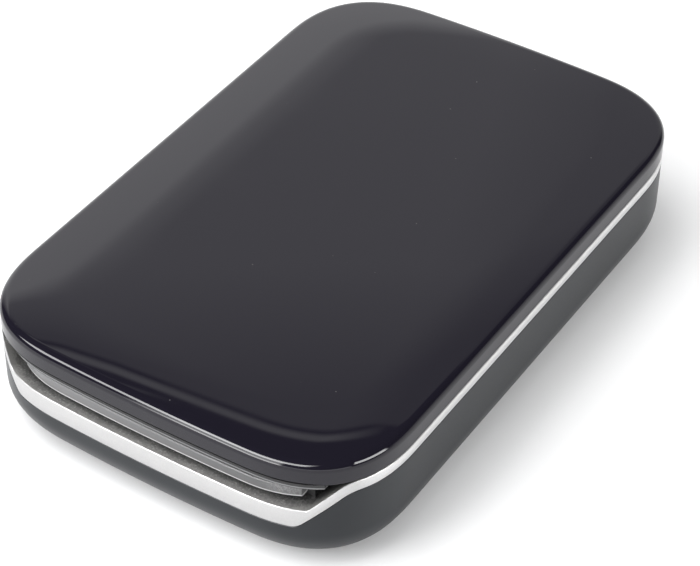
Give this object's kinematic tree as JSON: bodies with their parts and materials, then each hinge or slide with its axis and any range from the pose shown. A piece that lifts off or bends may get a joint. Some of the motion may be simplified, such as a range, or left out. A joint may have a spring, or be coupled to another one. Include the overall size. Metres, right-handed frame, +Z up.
{
  "type": "compact photo printer",
  "caption": "Pocket photo printer with rounded corners, glossy slide-off cover, bright band dipping to an output slot, paper tray and roller-fed thermal print engine.",
  "frame": {"origin": "centre of the flat underside, which is the centre of the plan", "axes": "+X to the right seen from the output end, +Y towards the rear end, +Z up; the output slot is at the -Y end"},
  "size_m": [0.075, 0.116, 0.023],
  "materials": {
    "satin_black": "satin",
    "satin_silver": "satin",
    "frame_black": "matt",
    "exit_grey": "gloss",
    "battery_wrap": "satin",
    "lead_red": "satin",
    "board_green": "satin",
    "tin": "satin",
    "socket_cream": "matt",
    "ribbon_amber": "gloss",
    "clear_pipe": "gloss",
    "steel": "brushed",
    "bronze": "satin",
    "gloss_black": "gloss",
    "roller_rubber": "matt",
    "gear_nylon": "satin",
    "pinion_brass": "satin",
    "ceramic": "gloss",
    "aluminium": "satin"
  },
  "bodies": {
    "base": {"lower_case": "satin_black", "trim_band": "satin_silver", "chassis": "frame_black", "exit_bar": "exit_grey", "battery": "battery_wrap", "battery_leads": "lead_red", "main_board": "board_green", "processor_shield": "tin", "radio_shield": "tin", "usb_port": "tin", "power_switch": "frame_black", "ribbon_socket": "socket_cream", "head_ribbon": "ribbon_amber", "charge_light": "clear_pipe", "motor": "steel", "roller_bushes": "bronze", "gear_posts": "steel", "gear_plate": "steel", "head_pivot": "steel", "head_springs": "steel", "sheet_sensor": "frame_black", "chassis_screws": "steel", "board_screws": "steel"},
    "cover": {"top_cover": "gloss_black", "cover_frame": "frame_black", "plate_springs": "steel"},
    "plate": {"pressure_plate": "steel"},
    "platen": {"platen_shaft": "steel", "platen_rubber": "roller_rubber", "platen_gear": "gear_nylon"},
    "pickup": {"pickup_shaft": "steel", "pickup_rubber": "roller_rubber", "pickup_gear": "gear_nylon"},
    "front_idler": {"idler_gear_front": "gear_nylon"},
    "drive_wheel": {"drive_gear": "gear_nylon"},
    "rear_idler": {"idler_gear_rear": "gear_nylon"},
    "motor_rotor": {"motor_shaft": "steel", "motor_pinion": "pinion_brass"},
    "head": {"print_head": "ceramic", "head_sink": "aluminium"},
    "button": {"power_button": "satin_black"}
  },
  "joints": [
    {"name": "cover_slide", "type": "slide", "parent": "base", "child": "cover", "axis": [0, -1, 0], "range_m": [0, 0.116]},
    {"name": "plate_press", "type": "slide", "parent": "cover", "child": "plate", "axis": [0, 0, 1], "range_m": [-0.0008, 0.0006], "stiffness_N_per_m": 400, "springref_m": 0.00025, "deforming": ["plate_springs"]},
    {"name": "platen_spin", "type": "hinge", "parent": "base", "child": "platen", "pos_m": [0, -0.044, 0.009], "axis": [1, 0, 0], "continuous": true},
    {"name": "pickup_spin", "type": "hinge", "parent": "base", "child": "pickup", "pos_m": [0, -0.017, 0.009], "axis": [1, 0, 0], "continuous": true},
    {"name": "front_idler_spin", "type": "hinge", "parent": "base", "child": "front_idler", "pos_m": [0, -0.03669, 0.00574], "axis": [1, 0, 0], "continuous": true},
    {"name": "drive_spin", "type": "hinge", "parent": "base", "child": "drive_wheel", "pos_m": [0, -0.0305, 0.009], "axis": [1, 0, 0], "continuous": true},
    {"name": "rear_idler_spin", "type": "hinge", "parent": "base", "child": "rear_idler", "pos_m": [0, -0.02431, 0.00574], "axis": [1, 0, 0], "continuous": true},
    {"name": "motor_spin", "type": "hinge", "parent": "base", "child": "motor_rotor", "pos_m": [0, -0.0229, 0.009], "axis": [1, 0, 0], "continuous": true},
    {"name": "head_lift", "type": "hinge", "parent": "base", "child": "head", "pos_m": [0, -0.037, 0.0151], "axis": [-1, 0, 0], "range_deg": [0, 1.2], "stiffness_Nm_per_rad": 0.05, "springref_deg": -11.46, "deforming": ["head_springs"]},
    {"name": "power_press", "type": "slide", "parent": "base", "child": "button", "axis": [0, -1, 0], "range_m": [0, 0.0005], "stiffness_N_per_m": 600, "springref_m": -0.0002}
  ],
  "couplings": [
    {"joint": "pickup_spin", "follows": "platen_spin", "ratio": 1},
    {"joint": "front_idler_spin", "follows": "platen_spin", "ratio": -1.6667},
    {"joint": "drive_spin", "follows": "platen_spin", "ratio": 1.25},
    {"joint": "rear_idler_spin", "follows": "platen_spin", "ratio": -1.6667},
    {"joint": "motor_spin", "follows": "platen_spin", "ratio": -3.5}
  ]
}
